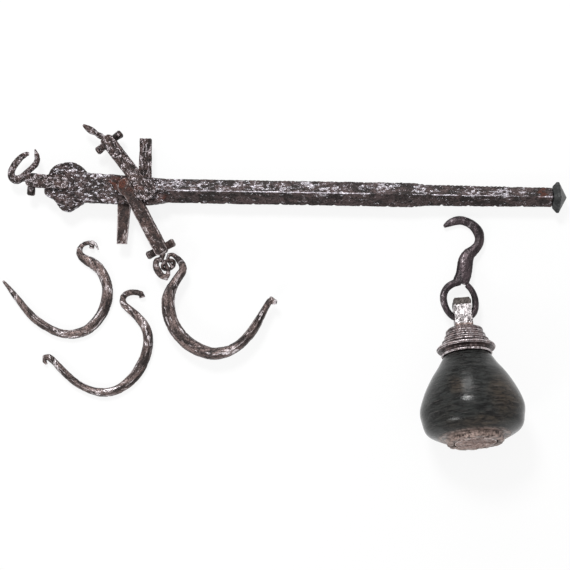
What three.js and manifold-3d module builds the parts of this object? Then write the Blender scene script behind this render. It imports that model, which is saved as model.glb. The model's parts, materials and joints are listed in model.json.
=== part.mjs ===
// A steelyard balance laid flat on a table: notched beam, two suspension forks, load clevis,
// three large hooks and a sliding poise. Millimetres, +Z up, the beam along +X.
// Drawing frame: the upper pivot's axis is x = 0, y = 0, and the table is z = 0.
// The finished layout is moved at the end, so that its origin is under the middle of it.
import * as THREE from 'three';
import { mergeVertices } from 'three/addons/utils/BufferGeometryUtils.js';
import Module from 'manifold-3d';

const wasm = await Module();
wasm.setup();

// Clearances
const seatGap = 0.3; // between pieces fixed to each other
const turnGap = 0.4; // between pieces that turn on each other

// Beam
const armLength = 324.6; // upper pivot to the end cap's seat
const armStart = 10; // where the square bar grows out of the head bar
const armStep = 218; // where the bar gets thinner
const armStepRun = 5;
const armNearReach = 9.9; // half the bar's height on edge, beside the head
const armMidReach = 10.2; // the same before the step
const armFarReach = 8.9; // after the step
const armEndReach = 8.1; // at the end cap
const armFlatness = 0.95; // its thickness against its height
const headDepth = 13;
const headLeft = -53;
const headRight = 16;
const plateDepth = 9;

// Notches of the two scales
const fineStart = 71;
const finePitch = 3.45;
const fineNotch = 1.5; // side of the square file that cuts them
const coarseStart = 43;
const coarsePitch = 21.5;
const coarseNotch = 2.3;

// End cap, a square head set on its edge
const capReach = 12.7; // half its diagonal, which also holds the beam off the table
const capCollar = 3.4;
const capRim = 2;
const capPoint = 6.4;
const capBackReach = 9;
const tenonLength = 6;
const tenonReach = 4.8;

// Tongues, held in the head bar by tenons
const tongueDepth = 4.6;
const tongueTenon = 4;
const upperTongueX = -0.9;
const upperTongueSeat = 9.4;
const upperTongueTop = 41.6;
const upperTongueWidth = 10.4;
const upperTongueTopWidth = 9.1;
const lowerTongueX = -17.2;
const lowerTongueSeat = 11.3;
const lowerTongueTop = 43.2;
const lowerTongueWidth = 10.4;
const lowerTongueTopWidth = 8;
const lowerTongueLean = -1.4;

// Pivots: knife edges through the beam
const lowerPivot = [-14.3, 1.9];
const loadPivot = [-67, 4.8];
const pinRadius = 2.6;
const pinEdge = 3.4; // from the pin's axis to its bearing edge

// Forks: two cheeks riveted to a crosshead in which the hook swivels
const cheekDepth = 2.6;
const cheekWidth = 10.4;
const cheekTail = 4.2; // past the crosshead's middle
const cheekCorner = 2; // taken off the tail's corners
const cheekSkin = 0.8; // left over the blind holes of pins and rivets
const upperForkLength = 48.5;
const upperForkAngle = 128.5;
const upperEyeRadius = 8.6;
const lowerForkLength = 55.5;
const lowerForkAngle = -61.1;
const lowerEyeRadius = 7.6;
const clevisLength = 24.3;
const clevisAngle = 175.4;
const clevisEyeRadius = 5.8;
const crossWidth = 8.6;
const crossLength = 7.4;
const crossCorner = 1.8; // taken off the block's outer corners
const lobeRadius = 3.3;
const lobeWaist = 2.8;
const lobeRound = 1.1;
const lobeReach = 12.4;
const rivetRadius = 1.9;
const rivetGrip = 3;
const stemRadius = 1.9;
const stemHeadRadius = 3.3;
const stemHeadDepth = 1.7;

// Chain under the lower fork
const loopRod = 1.6; // the strand that the link hangs on
const loopThickRod = 2.8; // the strand across from it
const loopLong = 7.4;
const loopWide = 3.95;
const loopAcross = -6.15; // its middle, beside the fork's axis
const linkRod = 1.3;
const linkRadius = 5.1;
const linkPlay = 0.1; // more room, as the loop's strand is curved
const linkTilt = -40;
const eyeRod = 1.3; // the suspension hook's curl, where the link holds it

// Large hooks, half widths in the hook's plane and half thicknesses across it
const hookNeck = 3.6;
const hookBelly = 5.4;
const hookArm = 4; // the arm that rises from the bow
const hookTip = 2.5;
const hookDepth = 4.8;
const looseBelly = 4.5;
const looseDepth = 3.2;
const looseEyeDepth = 1.8;

// Poise
const poiseX = 255;
const poiseY = -96.5;
const poiseTurn = 4.5;
const poiseHookTurn = 2.6; // the hook leans in its ring
const eyeWidth = 14;
const eyeDepth = 13.6;
const eyeTop = 12.8; // above the axis of its hole
const eyeFoot = 11;
const eyeBead = 1.6; // the cap on its top
const eyeHole = 5;
const eyeTenon = 4;
const eyeTenonLength = 11;
const neckHeight = 22;
const neckTopRadius = 14.9;
const flangeRadius = 23.5;
const flangeDrop = 15.8; // neck's top to the flange's rim
const neckFootRadius = 18.8;
const spigotRadius = 8;
const spigotLength = 5;
const shellHeight = 71.3;
const bellyRadius = 41;
const bellyHeight = 29;
const footRadius = 22.6;
const footHeight = 5;
const shellWall = 4;
const leadFootRadius = 16.5;

// Poise hook
const ringRod = 2.4;
const shankHalfWidth = 6.5;
const crookRod = 3.6;
const crookTip = 1.2;
const shankDepth = 2.4;
const crookTop = 81.5; // from the eye's hole to the outside of the crook

const degrees = Math.PI / 180;
const roundSides = 8;

const iron = { color: 0x3a302e, roughness: 0.55, metalness: 0.8 };
const paleIron = { color: 0x5a4f4e, roughness: 0.5, metalness: 0.8 };
const bronze = { color: 0x2f2c24, roughness: 0.35, metalness: 0.85 };
const silveredBronze = { color: 0x8f8583, roughness: 0.4, metalness: 0.85 };
const lead = { color: 0x9a8f8a, roughness: 0.65, metalness: 0.6 };

// A geometry as a solid that can be joined and cut
function toSolid(geometry) {
  const bare = geometry.clone();
  bare.deleteAttribute('normal');
  bare.deleteAttribute('uv');
  const merged = mergeVertices(bare, 1e-4);
  const triVerts = new Uint32Array(merged.index.array);
  const vertProperties = new Float32Array(merged.attributes.position.array);
  return new wasm.Manifold(new wasm.Mesh({ numProp: 3, vertProperties, triVerts }));
}

// A solid back as a geometry
function toGeometry(solid) {
  const { vertProperties, triVerts } = solid.getMesh();
  const geometry = new THREE.BufferGeometry();
  geometry.setAttribute('position', new THREE.BufferAttribute(new Float32Array(vertProperties), 3));
  geometry.setIndex(new THREE.BufferAttribute(new Uint32Array(triVerts), 1));
  geometry.computeVertexNormals();
  return geometry;
}

function union(...geometries) {
  const solids = geometries.map(toSolid);
  return toGeometry(solids.reduce((whole, next) => whole.add(next)));
}

function cut(geometry, ...tools) {
  const solids = tools.map(toSolid);
  return toGeometry(solids.reduce((whole, next) => whole.subtract(next), toSolid(geometry)));
}

// A flat outline, extruded and centred on z = 0
function prism(shape, depth) {
  const geometry = new THREE.ExtrudeGeometry(shape, { depth, bevelEnabled: false, curveSegments: 8 });
  return geometry.translate(0, 0, -depth / 2);
}

function outline(points) {
  return new THREE.Shape(points.map(([x, y]) => new THREE.Vector2(x, y)));
}

// A round bar along X between two places
function barX(radius, from, to, sides = 16) {
  const geometry = new THREE.CylinderGeometry(radius, radius, to - from, sides);
  return geometry.rotateZ(-Math.PI / 2).translate((from + to) / 2, 0, 0);
}

function barZ(radius, from, to, sides = 16) {
  const geometry = new THREE.CylinderGeometry(radius, radius, to - from, sides);
  return geometry.rotateX(Math.PI / 2).translate(0, 0, (from + to) / 2);
}

// Straight stretches between stations [place, size]
function stations(list) {
  return (place) => {
    const next = list.findIndex(([at]) => at >= place);
    if (next <= 0) return list[next === 0 ? 0 : list.length - 1][1];
    const [fromAt, fromSize] = list[next - 1];
    const [toAt, toSize] = list[next];
    return THREE.MathUtils.mapLinear(place, fromAt, toAt, fromSize, toSize);
  };
}

// A cylinder bent along a curve that lies in the XY plane. Its half width in the plane and its
// half thickness along Z change along the way.
function bentRod(points, halfWidth, halfDepth, steps, sides = roundSides) {
  const curve = new THREE.CatmullRomCurve3(points.map(([x, y]) => new THREE.Vector3(x, y, 0)));
  const geometry = new THREE.CylinderGeometry(1, 1, 1, sides, steps);
  const position = geometry.attributes.position;
  for (let i = 0; i < position.count; i += 1) {
    const along = THREE.MathUtils.clamp(position.getY(i) + 0.5, 0, 1);
    const centre = curve.getPointAt(along);
    const tangent = curve.getTangentAt(along);
    const wide = position.getX(i) * halfWidth(along);
    const deep = position.getZ(i) * halfDepth(along);
    position.setXYZ(i, centre.x + tangent.y * wide, centre.y - tangent.x * wide, deep);
  }
  return geometry;
}

function mesh(name, geometry, finish) {
  const piece = new THREE.Mesh(geometry, new THREE.MeshStandardMaterial(finish));
  piece.name = name;
  return piece;
}

function group(x, y, z, turn = 0) {
  const holder = new THREE.Group();
  holder.position.set(x, y, z);
  holder.rotation.z = turn * degrees;
  return holder;
}

// Depths from the beam's middle plane: the lower fork lies inside the upper one
const lowerCheekInner = headDepth / 2 + turnGap;
const upperCheekInner = lowerCheekInner + cheekDepth + turnGap;
const clevisCheekInner = plateDepth / 2 + turnGap;
const beamHeight = Math.max(capReach, upperCheekInner + cheekDepth);

// Half the arm's diagonal at a place along it
const armReach = stations([
  [armStart, armNearReach],
  [armStep - armStepRun / 2, armMidReach],
  [armStep + armStepRun / 2, armFarReach],
  [armLength, armEndReach],
]);

// The square bar set on its edge, from the head to the end cap's seat
function armBar() {
  const from = armStart - 4;
  const run = armLength - from;
  const reach = (along) => armReach(from + along * run);
  const thickness = (along) => armFlatness * reach(along);
  return bentRod([[from, 0], [armLength, 0]], reach, thickness, 60, 4);
}

function knifeShape(gap) {
  const radius = pinRadius + gap;
  const edge = pinEdge + gap;
  const touch = Math.acos(radius / edge);
  const shape = new THREE.Shape();
  shape.absarc(0, 0, radius, Math.PI / 2 + touch, Math.PI * 2.5 - touch, false);
  shape.lineTo(0, edge);
  return shape;
}

function knifeHole([x, y], flip) {
  return prism(knifeShape(seatGap), headDepth * 2).rotateZ(flip).translate(x, y, 0);
}

function headBar() {
  const shape = outline([
    [headLeft - 4, -9], [headLeft + 5, -10.5], [-24, -11.2], [2, -11.7], [headRight, -9.6],
    [headRight, 9.4], [4, 10.1], [-25, 12], [headLeft + 4, 13.1], [headLeft - 4, 12.6],
  ]);
  return prism(shape, headDepth);
}

// The flared head round the load pivot, with its hollow
function headPlate() {
  const rim = new THREE.SplineCurve([
    [-80.6, 4], [-77.7, 11.8], [-73.4, 17.8], [-66, 20.6], [-59.2, 21.3], [-52.2, 18.4], [-47, 12],
    [-46, 0], [-48, -9.5], [-55, -14.8], [-61, -18.3], [-66.9, -16.6], [-73.2, -9], [-80.2, -4.4],
    [-80.6, 4],
  ].map(([x, y]) => new THREE.Vector2(x, y)));
  return prism(new THREE.Shape(rim.getPoints(44).slice(1)), plateDepth);
}

function headHollow() {
  const hollow = new THREE.SphereGeometry(1, 14, 10).scale(7.2, 3, 1.6);
  return hollow.rotateZ(-8 * degrees).translate(-61, -5.6, plateDepth / 2);
}

function tongueShape(seat, top, width, topWidth, lean) {
  return outline([[-width / 2, seat - tongueTenon], [width / 2, seat - tongueTenon],
    [width / 2, seat], [lean + topWidth / 2, top], [lean - topWidth / 2, top], [-width / 2, seat]]);
}

function tongueSocket(x, seat, width, side) {
  const deep = tongueTenon + seatGap;
  const socket = new THREE.BoxGeometry(width + 2 * seatGap, 2 * deep, tongueDepth + 2 * seatGap);
  return socket.translate(x, side * seat, 0);
}

// One V notch across an edge of the arm
function notch(side, place, edge) {
  return new THREE.BoxGeometry(side, side, side * 4).rotateZ(Math.PI / 4).translate(place, edge, 0);
}

function notches() {
  const cutters = [];
  for (let place = fineStart; place < armLength - finePitch; place += finePitch) {
    cutters.push(notch(fineNotch, place, armReach(place)));
  }
  for (let place = coarseStart; place < armLength - finePitch; place += coarsePitch) {
    cutters.push(notch(coarseNotch, place, -armReach(place)));
  }
  return cutters;
}

function beam() {
  const tenon = bentRod([[armLength - 2, 0], [armLength + tenonLength, 0]],
    () => tenonReach, () => tenonReach, 1, 4);
  const whole = union(armBar(), headBar(), headPlate(), tenon);
  const geometry = cut(whole, headHollow(), ...notches(), knifeHole([0, 0], 0),
    knifeHole(lowerPivot, Math.PI), knifeHole(loadPivot, Math.PI),
    tongueSocket(upperTongueX, upperTongueSeat, upperTongueWidth, 1),
    tongueSocket(lowerTongueX, lowerTongueSeat, lowerTongueWidth, -1));
  return mesh('beam', geometry, iron);
}

function endCap() {
  const back = armLength + seatGap;
  const rimStart = back + capCollar;
  const profile = [[0, back], [capBackReach, back], [capReach, rimStart],
    [capReach, rimStart + capRim], [0, rimStart + capRim + capPoint]];
  const head = new THREE.LatheGeometry(profile.map(([r, x]) => new THREE.Vector2(r, x)), 4);
  const hole = tenonReach + seatGap * Math.SQRT2;
  const socketEnd = armLength + tenonLength + seatGap;
  const socket = bentRod([[back - 1, 0], [socketEnd, 0]], () => hole, () => hole, 1, 4);
  return mesh('end_cap', cut(head.rotateZ(-Math.PI / 2), socket), iron);
}

function tongues() {
  const upper = tongueShape(upperTongueSeat, upperTongueTop, upperTongueWidth, upperTongueTopWidth, 0);
  const lower = tongueShape(lowerTongueSeat, lowerTongueTop, lowerTongueWidth,
    lowerTongueTopWidth, lowerTongueLean);
  const lowerPiece = prism(lower, tongueDepth).rotateX(Math.PI);
  return [
    mesh('upper_tongue', prism(upper, tongueDepth).translate(upperTongueX, 0, 0), iron),
    mesh('lower_tongue', lowerPiece.translate(lowerTongueX, 0, 0), iron),
  ];
}

// A knife edge that ends in the blind eyes of two cheeks
function pivotPin(name, [x, y], cheekInner, flip) {
  const geometry = prism(knifeShape(0), 2 * (cheekInner + cheekDepth - cheekSkin - seatGap));
  return mesh(name, geometry.rotateZ(flip).translate(x, y, 0), paleIron);
}

function cheekShape(length, eyeRadius) {
  const half = cheekWidth / 2;
  const meet = Math.asin(Math.min(half / eyeRadius, 1));
  const shape = new THREE.Shape();
  const end = length + cheekTail;
  shape.absarc(0, 0, eyeRadius, meet, 2 * Math.PI - meet, false);
  shape.lineTo(end - cheekCorner, -half);
  shape.lineTo(end, -half + cheekCorner);
  shape.lineTo(end, half - cheekCorner);
  shape.lineTo(end - cheekCorner, half);
  return shape;
}

// A cheek with blind holes in its inner face for the pivot's knife edge and for the rivet
function cheek(name, length, eyeRadius, cheekInner, side) {
  const holesEnd = cheekInner + cheekDepth - cheekSkin;
  const plate = prism(cheekShape(length, eyeRadius), cheekDepth);
  plate.translate(0, 0, cheekInner + cheekDepth / 2);
  const eye = barZ(pinEdge + turnGap, cheekInner - 1, holesEnd, 24);
  const rivetHole = barZ(rivetRadius + seatGap, cheekInner - 1, holesEnd).translate(length, 0, 0);
  const geometry = cut(plate, eye, rivetHole);
  if (side < 0) geometry.rotateX(Math.PI);
  return mesh(name, geometry, iron);
}

// The cross-shaped forging between the cheeks: its thick part joins them, its lobes stick out
function crosshead(name, length, cheekInner, otherLobe) {
  const deep = 2 * (cheekInner - seatGap);
  const [end, side] = [crossLength / 2, crossWidth / 2];
  const block = prism(outline([[-end, -side], [end - crossCorner, -side], [end, crossCorner - side],
    [end, side - crossCorner], [end - crossCorner, side], [-end, side]]), deep);
  const neck = Math.min(otherLobe, crossWidth / 2 - 1);
  const lobes = lathe([[0, -otherLobe], [lobeRadius - lobeRound, -otherLobe],
    [lobeRadius, lobeRound - otherLobe], [lobeWaist, -neck], [lobeWaist, neck],
    [lobeRadius, lobeReach - lobeRound], [lobeRadius - lobeRound, lobeReach], [0, lobeReach]], 14);
  const bore = barX(stemRadius + turnGap, -crossLength, crossLength);
  const rivetEnd = cheekInner - rivetGrip - seatGap;
  const front = barZ(rivetRadius + seatGap, rivetEnd, cheekInner + 1);
  const back = barZ(rivetRadius + seatGap, -cheekInner - 1, -rivetEnd);
  return mesh(name, cut(union(block, lobes), bore, front, back).translate(length, 0, 0), iron);
}

function rivet(name, length, cheekInner, side) {
  const end = cheekInner + cheekDepth - cheekSkin - seatGap;
  const geometry = barZ(rivetRadius, cheekInner - rivetGrip, end);
  if (side < 0) geometry.rotateY(Math.PI);
  return mesh(name, geometry.translate(length, 0, 0), paleIron);
}

// Cheeks, crosshead and rivets of one fork. The pivot is the group's origin, the fork runs along X.
function fork(prefix, length, eyeRadius, cheekInner, otherLobe = lobeReach) {
  return [
    cheek(`${prefix}_front_cheek`, length, eyeRadius, cheekInner, 1),
    cheek(`${prefix}_back_cheek`, length, eyeRadius, cheekInner, -1),
    crosshead(`${prefix}_crosshead`, length, cheekInner, otherLobe),
    rivet(`${prefix}_front_rivet`, length, cheekInner, 1),
    rivet(`${prefix}_back_rivet`, length, cheekInner, -1),
  ];
}

// The stem that swivels in a crosshead, with its head inside the fork. The crosshead's middle is x = 0.
function swivelStem(end) {
  const inner = -crossLength / 2 - turnGap;
  const head = barX(stemHeadRadius, inner - stemHeadDepth, inner, 14);
  return union(head, barX(stemRadius, inner - 0.5, end, 14));
}

// The twisted shaft that is left of the suspension hook
function hookStub() {
  const path = [[4.2, 0.2], [6.5, 1.6], [9.5, 2.9], [12.5, 3.9], [16.6, 5.6], [20.3, 6.9], [23.8, 8]];
  const shaft = bentRod(path,
    stations([[0, 1.7], [0.12, 2], [0.22, 2.5], [0.4, 1.7], [0.62, 3], [0.82, 2.2], [1, 0.9]]),
    stations([[0, 1.7], [0.2, 1.7], [0.4, 2.3], [0.62, 1.5], [0.82, 1.6], [1, 0.8]]), 24);
  return mesh('upper_hook_stub', union(swivelStem(5), shaft), iron);
}

// Places in the chain, from the lower crosshead's middle, along the fork and across it
const loopAlong = crossLength / 2 + turnGap + loopLong + 2.5;
const loopStrand = loopAcross + loopWide;
const linkHole = linkRadius - linkRod;
const linkAcross = loopStrand + linkHole - turnGap - linkPlay - loopRod;
const eyeStrand = linkAcross + linkHole - turnGap - 0.2 - eyeRod;

function swivelRing() {
  const ring = new THREE.TorusGeometry(1, 0.2, 8, 30);
  const position = ring.attributes.position;
  for (let i = 0; i < position.count; i += 1) {
    const turn = Math.atan2(position.getY(i), position.getX(i));
    const rod = THREE.MathUtils.mapLinear(Math.sin(turn), 1, -1, loopRod, loopThickRod);
    const out = (Math.hypot(position.getX(i), position.getY(i)) - 1) / 0.2 * rod;
    position.setXYZ(i, (loopLong + out) * Math.cos(turn), (loopWide + out) * Math.sin(turn),
      position.getZ(i) / 0.2 * (rod + loopRod) / 2);
  }
  ring.translate(loopAlong, loopAcross, 0);
  const top = loopAlong - loopLong;
  const neck = bentRod([[2, 0], [crossLength / 2 + 1, -0.3], [top, loopAcross * 0.5],
    [top + 0.4, loopAcross]], () => stemRadius, () => loopRod, 10);
  const spur = bentRod([[loopAlong + loopLong - 1, loopAcross - 0.4],
    [loopAlong + loopLong + 3, loopAcross - 1.2]], stations([[0, 2.8], [1, 0.7]]),
  stations([[0, 1.8], [1, 0.7]]), 3);
  return mesh('lower_swivel_ring', union(swivelStem(4), ring, neck, spur), iron);
}

function linkRing() {
  const ring = new THREE.TorusGeometry(linkRadius, linkRod, 8, 22).rotateX(Math.PI / 2);
  ring.rotateZ(Math.PI / 2).rotateY(linkTilt * degrees);
  return mesh('link_ring', ring.translate(loopAlong, linkAcross, 0), iron);
}

// The hook that hangs in the chain, from its curl's turn to its tip, along the fork and across it
const suspensionBow = [[9.4, 1.5], [7.4, 2.6], [7, 4.4], [8.4, 6.4], [11.4, 7.9], [15.9, 9],
  [20.4, 9.2], [23.4, 7.5], [25.8, 3.2], [28.9, -2.5], [31.6, -6.8], [38, -13.2], [46.6, -17.6],
  [56.4, -19.6], [67.2, -18.9], [77.6, -15.6], [86.4, -9.8], [93.4, -2.2], [97.2, 8.3], [97, 19.8],
  [93.9, 30.2], [88.6, 40.2], [83, 48.7], [79.2, 54.6], [77, 58.9], [78.2, 61.3], [81.6, 59.8]];

function suspensionHook() {
  const path = [[loopAlong + 3.6, eyeStrand + 0.2], [loopAlong, eyeStrand], ...suspensionBow];
  const wide = stations([[0, eyeRod], [0.053, eyeRod], [0.093, 1.9], [0.118, hookNeck - 1],
    [0.14, hookNeck - 0.7], [0.16, hookNeck - 0.3], [0.22, hookNeck], [0.25, hookBelly - 1.1],
    [0.29, hookBelly],
    [0.52, hookBelly], [0.64, hookBelly - 0.6], [0.7, hookArm], [0.84, hookArm - 0.3],
    [0.92, hookTip], [0.97, hookTip], [1, hookTip - 0.6]]);
  const deep = stations([[0, eyeRod], [0.06, eyeRod], [0.12, 1.8], [0.25, hookDepth - 1.6],
    [0.5, hookDepth - 0.8], [0.66, hookDepth], [0.86, hookDepth], [0.95, 2.8], [1, 1.8]]);
  return mesh('suspension_hook', bentRod(path, wide, deep, 66), iron);
}

function endRing() {
  const path = [[4.3, -20.6], [6.4, -20.4], [9.8, -18], [13, -14.2], [15.8, -9.5], [17.4, -4.5],
    [15.8, -0.2], [11.6, 0.8], [8.2, -1.8], [4.9, -5.8], [1.6, -9.2], [-1.2, -12.6], [-2.5, -16.6],
    [-1.5, -20.8], [0.4, -25]];
  const wide = stations([[0, 1.5], [0.06, 2.4], [0.2, 2.9], [0.38, 3], [0.48, 3.8], [0.55, 3.2],
    [0.62, 2.4], [0.7, 2.4], [0.78, 2.8], [0.86, 2.4], [0.93, 2], [1, 0.7]]);
  const deep = stations([[0, 1.5], [0.1, 2.2], [0.5, 2.6], [0.65, 2.2], [0.9, 2], [1, 0.7]]);
  return mesh('end_ring', union(swivelStem(9), bentRod(path, wide, deep, 44)), iron);
}

// A loose hook from its tip to its curl, with its half width as shares of the belly's
function looseHook(path, shares, steps) {
  const wide = stations(shares.map(([at, share]) => [at, share * looseBelly]));
  const deep = stations([[0, looseEyeDepth / 2], [0.12, looseDepth], [0.8, looseDepth],
    [0.9, looseEyeDepth], [1, looseEyeDepth]]);
  return bentRod(path, wide, deep, steps);
}

const hookAPath = [[-114.8, -74.2], [-105.8, -84.9], [-95.3, -97.8], [-88.5, -104.5], [-80, -110.3],
  [-71.2, -114.6], [-62.4, -116.4], [-53.4, -115.4], [-45.7, -112], [-39.1, -105.7], [-33.8, -97.4],
  [-31, -88], [-30.7, -78.8], [-32.9, -70.7], [-36.8, -64.2], [-42.2, -59.2], [-48.5, -56],
  [-52.8, -52.6], [-53.9, -49], [-52.6, -45.6], [-49.4, -43.1], [-45.7, -42.3], [-43.4, -44],
  [-43.8, -46.9]];
const hookAShares = [[0, 0.2], [0.03, 0.34], [0.08, 0.5], [0.17, 0.69], [0.36, 0.73], [0.43, 0.84],
  [0.52, 0.93], [0.63, 1.02], [0.7, 0.92], [0.81, 1], [0.85, 0.88], [0.88, 0.66], [0.91, 0.5],
  [0.93, 0.38], [0.96, 0.36], [0.98, 0.5], [1, 0.44]];
const hookASpur = [[-46.6, -42.6], [-43.6, -41.4], [-41, -43.2], [-38.3, -48]];

const hookBPath = [[-78.4, -141], [-80.5, -138], [-80.3, -135.4], [-77.6, -134.8], [-73.2, -138.2],
  [-67.5, -143.8], [-57.8, -152.8], [-50, -158], [-41.5, -161.4], [-32.5, -162.8], [-23, -161],
  [-14.1, -155.7], [-6.3, -147.3], [0.2, -135.2], [3, -121.6], [1, -110.8], [-5, -102.4],
  [-12.4, -95.8], [-17, -91.8], [-18.5, -88], [-17, -84.2], [-12.6, -82], [-7, -81.7], [-3.2, -83],
  [-2.4, -85.6]];
const hookBShares = [[0, 0.22], [0.04, 0.6], [0.1, 0.63], [0.25, 0.64], [0.32, 0.74], [0.4, 0.78],
  [0.47, 0.92], [0.55, 1], [0.66, 0.89], [0.76, 0.79], [0.82, 0.68], [0.86, 0.6], [0.9, 0.58],
  [0.96, 0.5], [1, 0.52]];

// The large hook whose curl ends in a ball with a thin spur beside it
function looseHookA() {
  const spur = bentRod(hookASpur, stations([[0, 1.2], [0.6, 1], [1, 0.4]]),
    stations([[0, 1.2], [0.6, 1], [1, 0.4]]), 8);
  return mesh('loose_hook_a', union(looseHook(hookAPath, hookAShares, 56), spur), iron);
}

function looseHookB() {
  return mesh('loose_hook_b', looseHook(hookBPath, hookBShares, 58), iron);
}

// Poise, with the axis of its eye's hole as the origin and its own axis along Y
const neckTop = -eyeFoot;
const neckFoot = neckTop - neckHeight;
const shellFoot = neckFoot - seatGap - shellHeight;

function lathe(profile, segments = 36) {
  return new THREE.LatheGeometry(profile.map(([r, y]) => new THREE.Vector2(r, y)), segments);
}

// The body's outer radius at a height over the foot, between foot and neck
const shoulder = shellHeight - bellyHeight;
const bodyProfile = new THREE.SplineCurve([
  [footRadius + 4.9, footHeight], [0.912 * bellyRadius, 0.38 * bellyHeight],
  [0.985 * bellyRadius, 0.69 * bellyHeight], [bellyRadius, bellyHeight],
  [0.9 * bellyRadius, bellyHeight + 0.284 * shoulder],
  [0.746 * bellyRadius, bellyHeight + 0.567 * shoulder],
  [neckFootRadius + 5.1, bellyHeight + 0.8 * shoulder], [neckFootRadius, shellHeight],
].map(([radius, height]) => new THREE.Vector2(radius, height)));

function poiseShell() {
  const body = bodyProfile.getPoints(14).map((at) => [at.x, shellFoot + at.y]);
  const outer = lathe([[0, shellFoot], [footRadius, shellFoot], [footRadius, shellFoot + footHeight],
    ...body, [0, shellFoot + shellHeight]]);
  const spigotHole = barZ(spigotRadius + seatGap, 0, 2 * shellWall + 4, 24).rotateX(-Math.PI / 2);
  return mesh('poise_shell', cut(outer, leadForm(seatGap),
    spigotHole.translate(0, neckFoot - 2 * shellWall - 2, 0)), bronze);
}

// The lead filling: the shell's inside, drawn in by the wall. The hollow that it fills is grown by the gap.
function leadForm(grow) {
  const roof = shellFoot + shellHeight - shellWall - spigotLength;
  const inside = bodyProfile.getPoints(14)
    .filter((at) => at.y > footHeight + 1 && shellFoot + at.y < roof - 2)
    .map((at) => [at.x - shellWall + grow, shellFoot + at.y]);
  const [topRadius] = inside[inside.length - 1];
  return lathe([[0, shellFoot - grow], [leadFootRadius + grow, shellFoot - grow],
    [leadFootRadius + grow, shellFoot + footHeight - grow], ...inside,
    [topRadius - 2, roof + grow], [0, roof + grow]]);
}

function poiseNeck() {
  const rim = neckTop - flangeDrop;
  const profile = [[0, neckFoot - spigotLength], [spigotRadius, neckFoot - spigotLength],
    [spigotRadius, neckFoot], [neckFootRadius + 1.2, neckFoot], [neckFootRadius + 1.6, neckFoot + 1.2],
    [neckFootRadius, neckFoot + 2.6], [neckFootRadius + 0.2, neckFoot + 4],
    [flangeRadius - 0.6, rim - 1.4], [flangeRadius, rim], [flangeRadius - 1.4, rim + 1.4],
    [17.6, rim + 2.6], [18.9, rim + 3.6], [18.5, rim + 6], [15.4, rim + 6.8], [16.6, rim + 7.8],
    [16.2, rim + 10.2], [14, rim + 11], [neckTopRadius, rim + 12], [neckTopRadius - 0.3, neckTop - 1.2],
    [neckTopRadius - 1.5, neckTop], [0, neckTop]];
  const socket = barZ(eyeTenon + seatGap, -eyeTenonLength - seatGap, 2).rotateX(-Math.PI / 2);
  return mesh('poise_neck', cut(lathe(profile), socket.translate(0, neckTop, 0)), silveredBronze);
}

function poiseEye() {
  const foot = neckTop + seatGap;
  const body = new THREE.BoxGeometry(eyeWidth, eyeTop - foot, eyeDepth);
  body.translate(0, (eyeTop + foot) / 2, 0);
  const bead = new THREE.BoxGeometry(eyeWidth - 1.8, eyeBead, eyeDepth - 1.8);
  bead.translate(0, eyeTop + eyeBead / 2, 0);
  const tenon = barZ(eyeTenon, -eyeTenonLength, 1).rotateX(-Math.PI / 2).translate(0, neckTop, 0);
  const hole = barX(eyeHole, -eyeWidth, eyeWidth, 24);
  return mesh('poise_eye', cut(union(body, bead, tenon), hole), silveredBronze);
}

// The poise's hook: a crook and a flat shank, whose end is drawn out and bent round into a ring
function poiseHook() {
  const crook = bentRod([[-6.2, 74.1], [-1.6, 76.3], [3.3, 77.6], [8.1, 77.6], [13.3, 75.3],
    [17.5, 71.8], [20.5, 66.8], [21.1, 61.2], [19.3, 56.3], [15, 52.1], [10.8, 49.3], [7.8, 44.7],
    [6.2, 38.5], [4.8, 33.8], [2.6, 29.6], [1.4, 27]],
  stations([[0, crookTip], [0.064, crookRod - 0.8], [0.14, crookRod - 0.1], [0.26, crookRod - 0.1],
    [0.41, crookRod + 0.6], [0.5, crookRod], [0.56, crookRod], [0.63, crookRod + 0.6],
    [0.7, shankHalfWidth - 1.1], [0.76, shankHalfWidth - 0.3], [1, shankHalfWidth]]),
  stations([[0, crookTip], [0.1, 2], [0.3, 2.6], [0.6, shankDepth], [1, shankDepth]]), 34);
  const ring = bentRod([[1, 28.2], [-4.2, 27.3], [-8.6, 25.2], [-12, 21.6], [-13.7, 16.6],
    [-13.2, 10.4], [-11, 4.5], [-7.4, 0.2], [-3.6, -1.4], [0, -1.7], [3.6, -1.4], [7.4, 0.2],
    [10.4, 4.4], [11.4, 10.4], [11, 16.2], [9.2, 21], [6.4, 25]],
  stations([[0, ringRod + 0.6], [0.25, ringRod + 0.4], [0.4, ringRod], [0.65, ringRod],
    [0.8, ringRod + 0.2], [1, ringRod - 0.2]]), () => ringRod, 34);
  return mesh('poise_hook', union(crook, ring), iron);
}

// The poise lies on its belly and its flange
const flangeToBelly = shellHeight - bellyHeight + neckHeight - flangeDrop;
const poiseTilt = Math.atan2(bellyRadius - flangeRadius, flangeToBelly);

function lowestPoint(object) {
  object.updateMatrixWorld(true);
  return new THREE.Box3().setFromObject(object, true).min.z;
}

function poise() {
  const holder = group(poiseX, poiseY, 0, poiseTurn);
  const weight = new THREE.Group();
  weight.rotation.x = -poiseTilt;
  weight.add(poiseShell(), mesh('poise_lead_core', leadForm(0), lead), poiseNeck(), poiseEye());
  holder.add(weight);
  holder.position.z = -lowestPoint(holder);
  const hook = poiseHook();
  const hookTilt = Math.asin((holder.position.z - shankDepth) / crookTop);
  hook.rotation.set(-hookTilt, 0, poiseHookTurn * degrees);
  holder.add(hook);
  return holder;
}

function lowerFork() {
  const holder = group(lowerPivot[0], lowerPivot[1], 0, lowerForkAngle);
  holder.add(...fork('lower_fork', lowerForkLength, lowerEyeRadius, lowerCheekInner));
  const chain = group(lowerForkLength, 0, 0);
  chain.add(swivelRing(), linkRing(), suspensionHook());
  holder.add(chain);
  return holder;
}

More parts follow.
